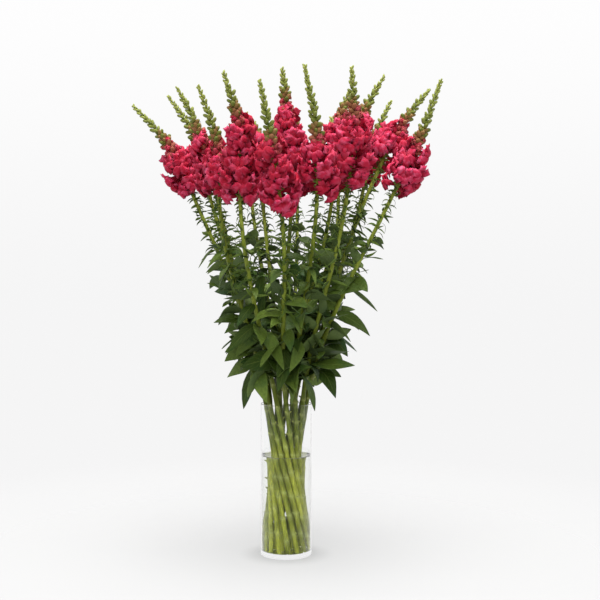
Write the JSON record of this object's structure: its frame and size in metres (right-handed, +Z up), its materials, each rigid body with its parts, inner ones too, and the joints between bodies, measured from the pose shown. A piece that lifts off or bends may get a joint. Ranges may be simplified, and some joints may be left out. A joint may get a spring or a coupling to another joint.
{
  "type": "snapdragon bouquet in a glass vase",
  "caption": "Tall magenta snapdragon stems with leaves and green bud tips, fanned out from a clear glass cylinder vase part filled with water.",
  "frame": {"origin": "middle of the vase's underside, on the surface it stands on", "axes": "+Z up along the vase's axis and the object's longest side, +X to the right and -Y toward the viewer of the picture"},
  "size_m": [0.4743, 0.4707, 0.7684],
  "materials": {
    "glass": "clear, smooth, polished rim",
    "water": "clear still water",
    "green": "living stem and leaf, satin, a little waxy",
    "petals": "soft matt petals"
  },
  "bodies": {
    "root": {"vase": "glass", "water": "water", "stem_01": "green", "stem_02": "green", "stem_03": "green", "stem_04": "green", "stem_05": "green", "stem_06": "green", "stem_07": "green", "stem_08": "green", "stem_09": "green", "stem_10": "green", "stem_11": "green", "stem_12": "green", "stem_13": "green", "stem_14": "green", "stem_15": "green", "stem_16": "green", "stem_17": "green", "stem_18": "green", "blooms_01": "petals", "blooms_02": "petals", "blooms_03": "petals", "blooms_04": "petals", "blooms_05": "petals", "blooms_06": "petals", "blooms_07": "petals", "blooms_08": "petals", "blooms_09": "petals", "blooms_10": "petals", "blooms_11": "petals", "blooms_12": "petals", "blooms_13": "petals", "blooms_14": "petals", "blooms_15": "petals", "blooms_16": "petals", "blooms_17": "petals", "blooms_18": "petals"}
  },
  "joints": []
}
